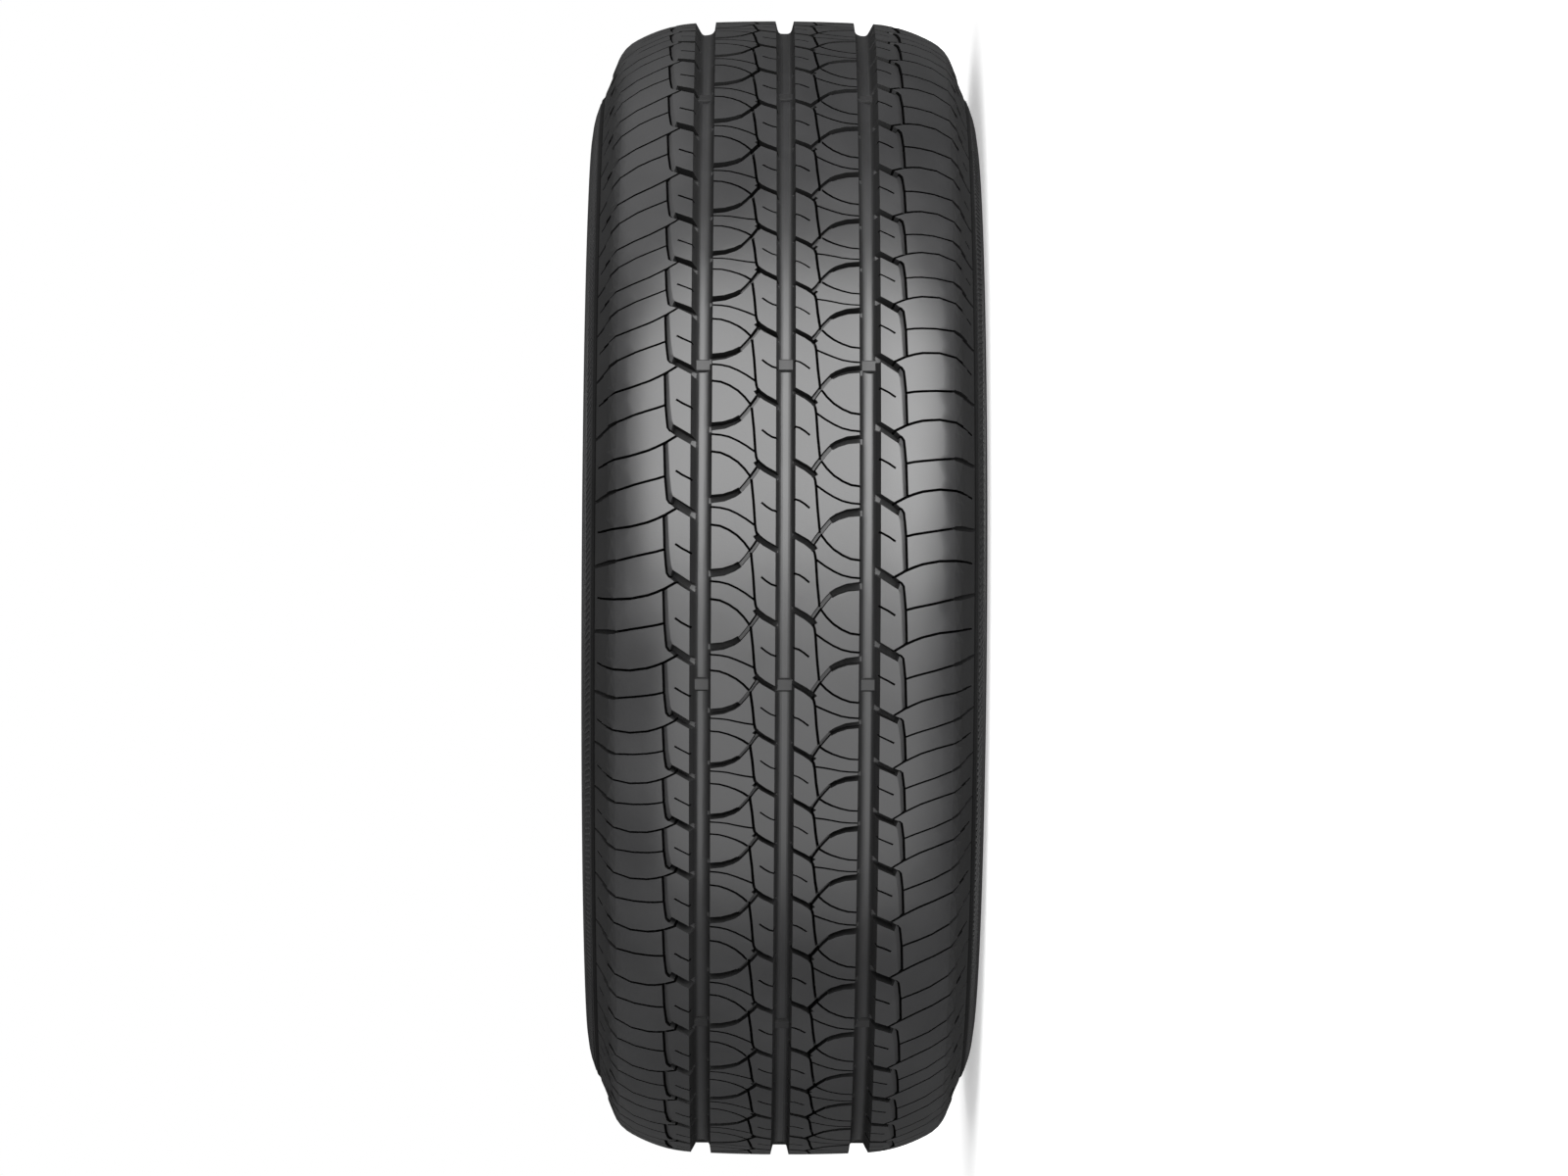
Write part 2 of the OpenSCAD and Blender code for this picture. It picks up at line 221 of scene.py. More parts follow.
class Groove:
    """A groove or sipe that follows a line of points, with the width that its left and right walls take up.

    shade is the painted shade, darker where shade falls: one value, or one each for the floor, the left wall
    and the right wall."""

    def __init__(self, line, width, depth, runs, shade=1.0):
        self.line = flat(line)
        self.half = spread(width, len(line)) / 2
        self.depth = spread(depth, len(line))
        self.runs = (runs, runs) if np.isscalar(runs) else runs
        self.shade = (shade,) * 3 if np.isscalar(shade) else shade

    def copied(self, turn, by):
        """The same groove at another place."""
        other = copy.copy(self)
        other.line = placed(self.line, turn, by)
        return other

    def outline(self, inset):
        """Closed outline of the edge, for an inset of 0, or the floor, for 1, with each point's depth."""
        steps = np.diff(self.line, axis=0)
        steps /= np.linalg.norm(steps, axis=1)[:, None]
        ahead, behind = np.vstack((steps, steps[-1:])), np.vstack((steps[:1], steps))
        mean = ahead + behind
        mean /= np.linalg.norm(mean, axis=1)[:, None]
        widened = np.maximum(0.6, (mean * ahead).sum(axis=1))[:, None]
        normal = np.column_stack((-mean[:, 1], mean[:, 0])) / widened
        middle = self.line.copy()
        middle[0] += steps[0] * inset * min(self.runs)
        middle[-1] -= steps[-1] * inset * min(self.runs)
        left = middle + normal * (self.half - inset * self.runs[0])[:, None]
        right = middle - normal * (self.half - inset * self.runs[1])[:, None]
        return np.vstack((left, right[::-1])), inset * np.concatenate((self.depth, self.depth[::-1]))

    def depths_and_shades(self, points):
        """Depth and shade of the groove at each point. The depth is zero outside it."""
        best, shade = np.zeros(len(points)), np.zeros(len(points))
        last = len(self.line) - 2
        for i in range(last + 1):
            course = self.line[i + 1] - self.line[i]
            length = np.linalg.norm(course)
            course /= length
            away = points - self.line[i]
            at = away @ course
            share = np.clip(at / length, 0.0, 1.0)
            gap = np.linalg.norm(away - (share * length)[:, None] * course, axis=1)
            gap = np.where(course[0] * away[:, 1] - course[1] * away[:, 0] > 0, gap, -gap)
            half = self.half[i] + share * (self.half[i + 1] - self.half[i])
            left, right = (half - gap) / self.runs[0], (half + gap) / self.runs[1]
            rise = np.minimum(left, right)
            if i == 0:
                rise = np.minimum(rise, at / min(self.runs))
            if i == last:
                rise = np.minimum(rise, (length - at) / min(self.runs))
            deep = (self.depth[i] + share * (self.depth[i + 1] - self.depth[i])) * np.clip(rise, 0.0, 1.0)
            tone = np.where(left < WALL_SHARE, self.shade[1],
                            np.where(right < WALL_SHARE, self.shade[2], self.shade[0]))
            shade = np.where(deep > best, tone, shade)
            best = np.maximum(best, deep)
        return best, shade


class Pocket:
    """A groove with straight edges, given by convex corners in turn and the width of the wall after each.

    shade is the painted shade of the floor, and then of the wall after each corner."""

    def __init__(self, corners, depth, runs, shade):
        self.corners, self.depth, self.runs, self.shade = flat(corners), depth, np.array(runs), shade

    def copied(self, turn, by):
        """The same groove at another place."""
        other = copy.copy(self)
        other.corners = placed(self.corners, turn, by)
        return other

    def inward(self):
        """Direction into the groove from each edge."""
        edges = np.roll(self.corners, -1, axis=0) - self.corners
        normals = np.column_stack((-edges[:, 1], edges[:, 0])) / np.linalg.norm(edges, axis=1)[:, None]
        middle = self.corners.mean(axis=0)
        return normals * np.sign(((middle - self.corners) * normals).sum(axis=1))[:, None]

    def outline(self, inset):
        """Closed outline of the edge, for an inset of 0, or the floor, for 1, with each point's depth."""
        normals = self.inward()
        levels = (normals * self.corners).sum(axis=1) + inset * self.runs
        points = [np.linalg.solve(normals[[i - 1, i]], levels[[i - 1, i]]) for i in range(len(normals))]
        return np.array(points), np.full(len(points), inset * self.depth)

    def depths_and_shades(self, points):
        """Depth and shade of the groove at each point. The nearest wall, or the floor, gives the shade."""
        rises = np.array([((points - corner) @ normal) / run
                          for corner, normal, run in zip(self.corners, self.inward(), self.runs)])
        wall = np.array(self.shade[1:])[np.argmin(rises, axis=0)]
        rise = rises.min(axis=0)
        return self.depth * np.clip(rise, 0.0, 1.0), np.where(rise < WALL_SHARE, wall, self.shade[0])


class Slope:
    """A slope from an edge down to a narrow groove beside it, both given as lines down the drawing."""

    def __init__(self, edge, foot, depth, shade):
        self.edge, self.foot, self.depth, self.shade = flat(edge), flat(foot), depth, shade
        self.turn, self.by = False, 0.0

    def copied(self, turn, by):
        """The same slope at another place."""
        other = copy.copy(self)
        other.turn, other.by = turn, by
        return other

    def depths_and_shades(self, points):
        """Depth and shade of the slope at each point. The depth is zero outside it."""
        at = points - (0, self.by)
        if self.turn:
            at = at * (-1, -1) + (0, 2 * TURN_AT)
        top = np.interp(at[:, 1], self.edge[::-1, 1], self.edge[::-1, 0])
        low = np.interp(at[:, 1], self.foot[::-1, 1], self.foot[::-1, 0])
        share = np.clip((at[:, 0] - top) / np.maximum(low - top, 0.2), 0.0, 1.0)
        inside = in_polygon(at, np.vstack((self.edge, self.foot[::-1])))
        return np.where(inside, self.depth * share, 0.0), np.full(len(points), self.shade)


def in_polygon(points, corners):
    """Whether each point lies inside a polygon."""
    inside = np.zeros(len(points), bool)
    for (x0, y0), (x1, y1) in zip(corners, np.roll(corners, -1, axis=0)):
        if y0 != y1:
            across = (points[:, 1] > y0) != (points[:, 1] > y1)
            inside ^= across & (points[:, 0] < x0 + (points[:, 1] - y0) * (x1 - x0) / (y1 - y0))
    return inside


# Each main groove across, as (distance from the centre line, depth, painted shade of the wall or floor up to
# there): dark walls painted where shade falls, and a floor as pale as the tops
GROOVE_DEPTH = 7.8
CENTRE_GROOVE = ((-5.7, 0, 0), (-4.4, 5.4, 0.6), (-3.7, 6.9, 0.55), (-2.7, 7.6, 0.4),
                 (-1.5, GROOVE_DEPTH, 0.2), (1.5, GROOVE_DEPTH, 0), (2.7, 7.6, 0.2), (3.7, 6.9, 0.4),
                 (4.4, 5.4, 0.55), (5.7, 0, 0.6))
OUTER_GROOVE = ((43.0, 0, 0), (43.9, 5.0, 0.65), (44.8, 6.4, 0.58), (45.9, 7.2, 0.42), (47.1, 7.6, 0.24),
                (48.2, GROOVE_DEPTH, 0.1), (50.3, GROOVE_DEPTH, 0), (51.1, 7.6, 0.15), (51.9, 7.0, 0.35),
                (52.7, 5.8, 0.55), (55.5, 0, 0.65))

# The narrow groove in the shoulder, from the end of a shoulder sipe down into a shoulder lug, and the edge of
# the slope on its inner side
SLOT_LINE = ((71.0, 42.1), (70.4, 22.8), (69.5, 12.9), (69.0, 8.6), (67.6, 6.5), (66.5, 6.0))
SLOPE_EDGE = ((68.3, 43.1), (67.4, 22.8), (66.2, 12.9), (65.4, 10.5), (64.8, 8.6), (64.1, 6.1))
SLOT_WIDTH, SLOT_DEPTH = 1.1, 5.4
SLOPE_DEPTH = 1.5
# Depth of the lugs and of their mouths in the main grooves, and of the sipes, in millimetres
LUG_DEPTH, MOUTH_DEPTH, SIPE_DEPTH = 6.2, 6.4, 5.0
# Painted shade of the sipes, the narrow groove in the shoulder and its slope
SIPE_SHADE = 0.12


def half_grooves():
    """The cross grooves of one pitch on the first half of the tread."""
    return [
        # The centre lug, the deep part of the arc, and the mouths of both, cut a little deeper so that they
        # carry a painted lighter patch where light falls into the lug
        Groove(((17.2, 31.0), (16.2, 29.4), (12, 26.1), (4, 21.6), (1.0, 20.3)), 3.8, LUG_DEPTH, (0.5, 0.4),
               (0.75, 0.8, 0.85)),
        Groove(((46.5, 8.3), (43, 8.6), (36, 9.4), (30, 11.6), (26.4, 13.8)), (5.2, 5.0, 4.7, 4.2, 3.8),
               LUG_DEPTH, (0.6, 0.6), (0.7, 0.75, 0.8)),
        Groove(((47.6, 8.2), (43.3, 8.6)), (4.6, 4.2), MOUTH_DEPTH, 0.5, 0.25),
        Groove(((4.9, 22.1), (1.0, 20.2)), (3.0, 2.6), MOUTH_DEPTH, 0.5, 0.25),
        # The shallow tail of the arc, and the sipe at its bottom
        Groove(((27.6, 12.6), (25.7, 14.3), (23.0, 17.4), (18.1, 23.8), (16.0, 27.0), (15.2, 28.4)),
               2.9, 2.4, (0.5, 0.5), (0.3, 0.9, 0.95)),
        Groove(((21.2, 21.2), (16.8, 27.6), (16.2, 29.2)), 1.1, SIPE_DEPTH, SIPE_SHADE),
        # The sipes of the centre: one along the rib, two arcs and a short one
        Groove(((16.3, 30.5), (17.2, 33.5), (17.7, 37), (18.6, 50), (20.0, 63.8)), 1.55, 5.5, 0.15),
        Groove(((44.6, 36.8), (38, 35.9), (33, 33.7), (28, 30.4), (24, 26.4), (20.7, 22.0)), 1.4, SIPE_DEPTH,
               SIPE_SHADE),
        Groove(((44.6, 47.1), (38, 46.5), (33, 45.3), (28, 43), (23, 40), (17.7, 36.2)), 1.25, SIPE_DEPTH,
               SIPE_SHADE),
        Groove(((14, 49.6), (11, 47.1), (8, 45.2), (4.8, 44.3)), 1.25, 4.5, SIPE_SHADE),
        # The shoulder lug with its mouth, which is cut a little deeper and painted lighter where light falls
        # in, and the narrow groove that runs into it
        Pocket(((51.2, 1.4), (65.65, 10.5), (67.3, 5.9), (63.7, 2.9), (51.2, -4.7)), LUG_DEPTH,
               (0.5, 0.7, 1.0, 0.8, 0.2), (0.68, 0.8, 0.35, 0.35, 0.6, 0.0)),
        Groove(((50.4, -1.6), (56.0, 1.2)), (5.2, 3.4), MOUTH_DEPTH, 0.6, 0.2),
        Groove(SLOT_LINE, SLOT_WIDTH, SLOT_DEPTH, SIPE_SHADE),
        # The sipes across the shoulder, with the notches on the buttress, and the short one in the outer rib
        Groove(((62.6, 46.7), (70, 42.5), (75, 40.3), (80, 38.5), (90, 36.4), (100, 35.8), (107.2, 35.8),
                (110.5, 36.2)), (1.6, 1.6, 1.6, 1.3), (4.6, 4.6, 4.0, 2.2), 0.15),
        Groove(((70.3, 22.4), (75, 21.1), (80, 20.1), (88, 18.5), (99.6, 15.8)), 1.5, (4.6, 4.6, 3.6), 0.15),
        Groove(((98.8, 16.0), (103.6, 15.4)), (2.4, 3.2), (3.0, 2.4), 0.5, 0.8),
        Groove(((103.0, 15.4), (110.0, 14.2), (112.2, 13.6)), (3.2, 2.2), (2.2, 1.4), 0.5, 0.8),
        Groove(((64, 25.5), (60, 22.8), (54.4, 19.9)), 1.3, 4.5, SIPE_SHADE),
    ]


# The buttress steps in to a shallow panel beyond a ledge, which jumps out and back once a pitch between two
# distances round the tyre
LEDGE_NEAR, LEDGE_FAR, LEDGE_END = 104.2, 107.0, 113.2
LEDGE_LOW, LEDGE_HIGH = 15.4, 35.8
LEDGE_DEPTH = 0.7
# Width of the ledge's wall, and the distance over which the panel runs out at its foot
LEDGE_RUN, LEDGE_FADE = 1.8, 5.0
TREAD_END = 114.0
# The narrow line round the foot of the panel, laid out as the main grooves are
BUTTRESS_LINE = ((111.8, 0.4, 0), (112.3, 0.8, 0.9), (112.9, 0.8, 0.9), (113.7, 0, 0.8))
# Distances from the centre line at which the drawing has points all the way round
COLUMN_PLACES = (0, 20, 37, 49, 66, 79, 84, 88, 92, 95.5, 99, 102, 104.6, 107.5, 110, TREAD_END)


def ledge_depth(points):
    """Depth of the shallow panel between the ledge and the narrow line on the first half's buttress."""
    near = np.mod(points[:, 1] - LEDGE_LOW, DRAWN_PITCH) < LEDGE_HIGH - LEDGE_LOW
    start = np.where(near, along(LEDGE_NEAR), along(LEDGE_FAR))
    rise = np.minimum((points[:, 0] - start) / LEDGE_RUN, (along(LEDGE_END) - points[:, 0]) / LEDGE_FADE)
    return LEDGE_DEPTH * np.clip(rise, 0.0, 1.0)


def panel_depth(points):
    """Depth of the panels on both halves."""
    return np.maximum(ledge_depth(points), ledge_depth(placed(points, True, 0)))


def near_segments(points, segments, reach):
    """Whether each point lies within reach of any of the segments."""
    near = np.zeros(len(points), bool)
    for a, b in segments:
        d = b - a
        t = np.clip(((points - a) @ d) / max(d @ d, 1e-9), 0.0, 1.0)
        near |= np.linalg.norm(points - a - t[:, None] * d, axis=1) < reach
    return near


class Drawing:
    """The flat drawing of one pitch: points, lines between them, and what is cut in."""

    def __init__(self):
        self.points, self.edges, self.cuts, self.profiles, self.known = [], [], [], [], {}

    def add_line(self, points, closed=False):
        """Draw a line through points."""
        base, count = len(self.points), len(points)
        self.points += [tuple(p) for p in points]
        self.edges += [(base + i, base + (i + 1) % count) for i in range(count if closed else count - 1)]

    def add_cut(self, cut):
        """Draw a cut on both halves, with the copies of it that reach into this pitch."""
        for turn in (False, True):
            for k in range(-3, 4):
                copied = cut.copied(turn, k * DRAWN_PITCH)
                if isinstance(cut, Slope):
                    self.cuts.append(copied)
                    self.add_line(placed(cut.edge[:4], turn, k * DRAWN_PITCH))
                    continue
                edge, floor = copied.outline(0.0)[0], copied.outline(1.0)
                reach = edge[:, 1] - edge_ahead(edge[:, 0])
                if reach.min() < PITCH_END + 1 and reach.max() > PITCH_START - 1:
                    self.cuts.append(copied)
                    self.add_line(edge, True)
                    self.add_line(floor[0], True)
                    self.known.update({tuple(np.round(p, 3)): d for p, d in zip(*floor)})

    def add_round(self, u):
        """Draw a line round the tyre at a place along the section."""
        self.add_line([(u, s + edge_ahead(u)) for s in COLUMN_LINES])

    def add_round_groove(self, profile, side):
        """Draw a groove that runs round the tyre, on the first half for a side of 1 or the other for -1."""
        across = np.array([(along(side * z), d, shade) for z, d, shade in profile])
        if side < 0:
            across[:, 2] = np.append(across[1:, 2], 0.0)
        across = across[np.argsort(across[:, 0])]
        self.profiles.append(across)
        for u in across[:, 0]:
            self.add_round(u)

    def add_ledge(self, turn):
        """Draw the edges of the buttress ledge on one half."""
        near, far = along(LEDGE_NEAR), along(LEDGE_FAR)
        for k in range(-2, 3):
            low, high = LEDGE_LOW + k * DRAWN_PITCH, LEDGE_HIGH + k * DRAWN_PITCH
            lines = [[(near, s), (far + LEDGE_RUN, s)] for s in (low, high)]
            for inset in (0.0, LEDGE_RUN):
                lines += [[(near + inset, low), (near + inset, high)],
                          [(far + inset, high), (far + inset, low + DRAWN_PITCH)]]
            for line in lines:
                self.add_line(placed(np.array(line), turn, 0))

    def layers(self, points):
        """Depth and shade at each point of every groove and cut in turn."""
        for across in self.profiles:
            deep = np.interp(points[:, 0], across[:, 0], across[:, 1], left=0, right=0)
            yield deep, across[np.clip(np.searchsorted(across[:, 0], points[:, 0]), 0, len(across) - 1), 2]
        for cut in self.cuts:
            yield cut.depths_and_shades(points)

    def depths(self, points):
        """Depth of the tread at each point."""
        marked = np.array([self.known.get(tuple(np.round(p, 3)), 0.0) for p in points])
        return np.max([deep for deep, _ in self.layers(points)] + [panel_depth(points), marked], axis=0)

    def shades(self, points):
        """How dark the tread is painted at each point, as painted shade, by the deepest cut there."""
        best = np.full(len(points), SHADED_DEPTH)
        out = np.abs(points[:, 0])
        # Painted shade grows over the buttress toward the sidewall.
        shade = SIDEWALL_SHADE * np.clip((out - along(SHADE_FROM)) / SHADE_RUN, 0.0, 1.0)
        panel = panel_depth(points)
        # The ledge's wall is painted fully dark, as painted shade, so that it shows as a thin dark line.
        wall = (panel > SHADED_DEPTH) & (panel < 0.9 * LEDGE_DEPTH) & (out < along(LEDGE_FAR) + LEDGE_RUN)
        shade = np.where(wall, 1.0, shade)
        for deep, tone in self.layers(points):
            shade, best = np.where(deep > best, tone, shade), np.maximum(deep, best)
        return shade


def tread_drawing():
    """The drawing of one pitch: points, triangles, each point's depth and each triangle's shade."""
    drawing = Drawing()
    drawing.add_round_groove(CENTRE_GROOVE, 1)
    for side in (1, -1):
        drawing.add_round_groove(OUTER_GROOVE, side)
        drawing.add_round_groove(BUTTRESS_LINE, side)
        drawing.add_ledge(side < 0)
    for cut in half_grooves() + [Slope(SLOPE_EDGE, SLOT_LINE, SLOPE_DEPTH, SIPE_SHADE)]:
        drawing.add_cut(cut)
    places = np.array([along(z) for z in COLUMN_PLACES])
    places = np.unique(np.concatenate((places, -places)))
    corners = np.unique(np.concatenate((places, EDGE_AT, -EDGE_AT)))
    for s in (PITCH_START, PITCH_END):
        drawing.add_line([(u, s + edge_ahead(u)) for u in corners])
    for u in (places[0], places[-1]):
        drawing.add_round(u)
    points = np.array(drawing.points)
    segments = [(points[a], points[b]) for a, b in drawing.edges]
    grid = np.array([(u, PITCH_START + DRAWN_PITCH * t + edge_ahead(u))
                     for u in places[1:-1] for t in (np.arange(GRID_ROWS) + 0.5) / GRID_ROWS])
    points = np.vstack((points, grid[~near_segments(grid, segments, GRID_CLEARANCE)]))
    made = delaunay_2d_cdt([Vector(p) for p in points], drawing.edges, [], 0, JOIN)
    verts = np.array([tuple(v) for v in made[0]])
    faces = np.array([f for f in made[2] if len(f) == 3])
    middle = verts[faces].mean(axis=1)
    level = middle[:, 1] - edge_ahead(middle[:, 0])
    inside = (level > PITCH_START) & (level < PITCH_END) & (np.abs(middle[:, 0]) < places[-1])
    used, faces = np.unique(faces[inside], return_inverse=True)
    faces = faces.reshape(-1, 3)
    verts = verts[used]
    for edge in (PITCH_START, PITCH_END):
        ends = edge + edge_ahead(verts[:, 0])
        verts[:, 1] = np.where(np.abs(verts[:, 1] - ends) < 2.0 * JOIN, ends, verts[:, 1])
    p = verts[faces]
    area = ((p[:, 1] - p[:, 0]) * (p[:, 2] - p[:, 0])[:, ::-1] * (1, -1)).sum(axis=1)
    faces[area > 0] = faces[area > 0][:, ::-1]
    return verts, faces, drawing.depths(verts), drawing.shades(p.mean(axis=1))


# Rings of the sidewall as (radius, depth), from the tread to the bead: a band for the serrations, fine
# lines, the rim guard and the fitting line. A depth below zero stands proud.
SIDEWALL_RINGS = (
    (304.6, 0.5), (300.0, 0.5), (295.6, 0.5), (295.2, 0.0), (293.6, 0.0), (293.2, 0.6), (292.4, 0.6),
    (292.0, 0.0), (284.0, 0.0), (276.0, 0.0), (268.0, 0.0), (262.0, 0.0), (255.2, 0.0), (254.8, 0.6),
    (253.8, 0.6), (253.4, 0.0), (251.8, 0.0), (251.4, 0.6), (250.4, 0.6), (250.0, 0.0), (245.0, 0.0),
    (240.5, 0.0), (237.6, -0.6), (235.4, -1.9), (233.2, -2.4), (230.8, -2.2), (229.2, -1.0), (228.2, 0.0),
    (224.5, 0.0), (219.8, 0.0), (219.4, -0.7), (218.4, -0.7), (218.0, 0.0), (214.5, 0.0),
)


def strip_rings():
    """(along, depth, shade) of every ring between the tread and the middle of the liner."""
    fade = np.array(SIDEWALL_FADE)
    rings = [(along_radius(radius), depth, np.interp(radius, *fade.T)) for radius, depth in SIDEWALL_RINGS]
    bead = int(np.argmin(np.abs(HALF - (BEAD_FACE[0], BEAD_FACE[1])).sum(axis=1)))
    toe = bead + len(HEEL_ANGLES) + len(TOE)
    liner = toe + sum(LINER_STEPS)
    keep = list(range(bead, toe + 1)) + list(range(toe + 2, liner, 4)) + list(range(liner + 1, len(HALF)))
    return rings + [(HALF_LENGTH[i], 0.0, fade[0, 1]) for i in keep]


def pitch_mesh():
    """Flat mesh of one pitch: X along the section, Y from 0 to 1 round the pitch, Z the height."""
    verts, faces, depths, shades = tread_drawing()
    points = [(u, (s - edge_ahead(u) - PITCH_START) / DRAWN_PITCH, -d) for (u, s), d in zip(verts, depths)]
    faces = [tuple(int(i) for i in f) for f in faces]
    rows = np.linspace(0.0, 1.0, COLUMNS + 1)
    for side in (1, -1):
        edge = side * along(TREAD_END)
        at_edge = sorted((p[1], i) for i, p in enumerate(points) if abs(p[0] - edge) < 1e-3)
        last = [i for _, i in at_edge]
        for u, d, shade in strip_rings():
            ring = list(range(len(points), len(points) + COLUMNS + 1))
            shades = np.append(shades, [shade] * COLUMNS)
            points += [(side * u, t, -d) for t in rows]
            for a, b, c, e in zip(last, last[1:], ring, ring[1:]):
                faces += [(a, b, e, c) if side > 0 else (c, e, b, a)]
            last = ring
    mesh = bpy.data.meshes.new("pitch")
    mesh.from_pydata([(u * MM, t, z * MM) for u, t, z in points], [], faces)
    # The halves run ahead in opposite directions, so this fades out before they meet inside the tyre.
    places, end = np.array([u for u, _, _ in points]), HALF_LENGTH[-1]
    fade = np.clip((end - np.abs(places)) / (end - along(TREAD_END)), 0.0, 1.0)
    give(mesh, "depth", "POINT", [-z * MM for _, _, z in points])
    give(mesh, "ahead", "POINT", edge_ahead(places) * fade * RING_ANGLE)
    give(mesh, "shade", "FACE", shades)
    return mesh


def give(mesh, name, domain, values):
    """Give a mesh an attribute of one number for each point or face."""
    mesh.attributes.new(name, "FLOAT", domain).data.foreach_set("value", values)


def section_mesh():
    """Polyline round the whole section, from the liner's middle over both sidewalls and back, in X and Y."""
    line = np.vstack((HALF[:0:-1] * (-1, 1), HALF)) * MM
    mesh = bpy.data.meshes.new("section")
    mesh.from_pydata([(z, r, 0.0) for z, r in line], [(i, i + 1) for i in range(len(line) - 1)], [])
    return mesh


def ring_mesh():
    """One point for each pitch, its Y the angle where the pitch starts, with the pitch's own angle."""
    angles = np.array([PITCH_LENGTHS[letter] for letter in PITCH_ORDER]) * RING_ANGLE
    starts = FIRST_PITCH + np.concatenate(([0.0], np.cumsum(angles)[:-1]))
    mesh = bpy.data.meshes.new("pitches")
    mesh.from_pydata([(0.0, a, 0.0) for a in starts], [], [])
    give(mesh, "pitch_angle", "POINT", angles)
    return mesh


def holder(name, mesh):
    """A new object in the scene for a mesh, a light or a camera."""
    obj = bpy.data.objects.new(name, mesh)
    bpy.context.scene.collection.objects.link(obj)
    return obj


class Tree:
    """A node tree with short calls to add nodes and link them."""

    def __init__(self, tree):
        self.tree = tree
        self.sockets = {}

    def socket(self, name, kind, way="INPUT", value=None):
        """Add an input or output to a node group."""
        made = self.tree.interface.new_socket(name=name, in_out=way, socket_type=kind)
        if value is not None:
            made.default_value = value
        self.sockets[name] = made.identifier

    def node(self, kind, inputs=(), **settings):
        """Add a node, with its settings and a value or a link for each of its inputs that is named."""
        node = self.tree.nodes.new(kind)
        for key, value in settings.items():
            setattr(node, key, value)
        for key, value in dict(inputs).items():
            self.feed(node.inputs[key], value)
        return node

    def feed(self, socket, value):
        """Link a socket to an output, or give it a value."""
        if isinstance(value, bpy.types.NodeSocket):
            self.tree.links.new(value, socket)
        else:
            socket.default_value = value

    def math(self, operation, *values):
        """Add a math node on one or more values."""
        return self.node("ShaderNodeMath", enumerate(values), operation=operation).outputs[0]

    def attribute(self, name, kind="FLOAT"):
        """An attribute of the geometry."""
        named = self.node("GeometryNodeInputNamedAttribute", {"Name": name}, data_type=kind)
        return named.outputs["Attribute"]

    def geometry_of(self, source):
        """The geometry of an object."""
        return self.node("GeometryNodeObjectInfo", {"Object": source}).outputs["Geometry"]

    def finish(self, geometry, material):
        """End a geometry node tree with real geometry that has a material."""
        real = self.node("GeometryNodeRealizeInstances", {"Geometry": geometry}).outputs[0]
        dressed = self.node("GeometryNodeSetMaterial", {"Geometry": real, "Material": material}).outputs[0]
        self.node("NodeGroupOutput", {"Geometry": dressed})
        return self


def geometry_tree(name, objects, sizes):
    """A new geometry node tree and its inputs: geometry, some objects, some sizes and the rubber."""
    t = Tree(bpy.data.node_groups.new(name, "GeometryNodeTree"))
    t.socket("Geometry", "NodeSocketGeometry")
    for key in objects:
        t.socket(key, "NodeSocketObject")
    for key, value in sizes.items():
        t.socket(key, "NodeSocketFloat", value=value)
    t.socket("Rubber", "NodeSocketMaterial")
    t.socket("Geometry", "NodeSocketGeometry", "OUTPUT")
    return t, t.node("NodeGroupInput").outputs


def ring_tree():
    """Node tree that sets a pitch round the tyre for each point and bends the strip along the section."""
    t, given = geometry_tree("Pitches round the tyre", ("Pitch", "Section"), {"Merge Distance": MERGED})
    scale = t.node("ShaderNodeCombineXYZ", {"X": 1.0, "Y": t.attribute("pitch_angle"), "Z": 1.0}).outputs[0]
    copies = t.node("GeometryNodeInstanceOnPoints", {
        "Points": given["Geometry"], "Instance": t.geometry_of(given["Pitch"]), "Scale": scale})
    strip = t.node("GeometryNodeRealizeInstances", {"Geometry": copies.outputs["Instances"]}).outputs[0]
    at = t.node("ShaderNodeSeparateXYZ", {0: t.node("GeometryNodeInputPosition").outputs[0]}).outputs
    line = t.node("GeometryNodeMeshToCurve", {0: t.geometry_of(given["Section"])}).outputs[0]
    length = t.node("GeometryNodeCurveLength", {0: line}).outputs[0]
    reach = t.math("ADD", at["X"], t.math("MULTIPLY", length, 0.5))
    sample = t.node("GeometryNodeSampleCurve", {"Curves": line, "Length": reach}, mode="LENGTH").outputs
    place = t.node("ShaderNodeSeparateXYZ", {0: sample["Position"]}).outputs
    course = t.node("ShaderNodeSeparateXYZ", {0: sample["Tangent"]}).outputs
    out_r, out_z = course["X"], t.math("MULTIPLY", course["Y"], -1.0)
    radius = t.math("MULTIPLY_ADD", out_r, at["Z"], place["Y"])
    height = t.math("MULTIPLY_ADD", out_z, at["Z"], place["X"])
    angle = t.math("ADD", at["Y"], t.attribute("ahead"))
    cos, sin = t.math("COSINE", angle), t.math("SINE", angle)
    bent, facing = (
        t.node("ShaderNodeCombineXYZ", {
            "X": t.math("MULTIPLY", r, cos), "Y": t.math("MULTIPLY", r, sin), "Z": z}).outputs[0]
        for r, z in ((radius, height), (out_r, out_z)))
    kept = t.node("GeometryNodeStoreNamedAttribute", {"Geometry": strip, "Name": "facing", "Value": facing},
                  data_type="FLOAT_VECTOR", domain="POINT").outputs[0]
    ring = t.node("GeometryNodeSetPosition", {"Geometry": kept, "Position": bent}).outputs[0]
    closed = t.node("GeometryNodeMergeByDistance", {"Geometry": ring, "Distance": given["Merge Distance"]})
    return t.finish(closed.outputs[0], given["Rubber"])


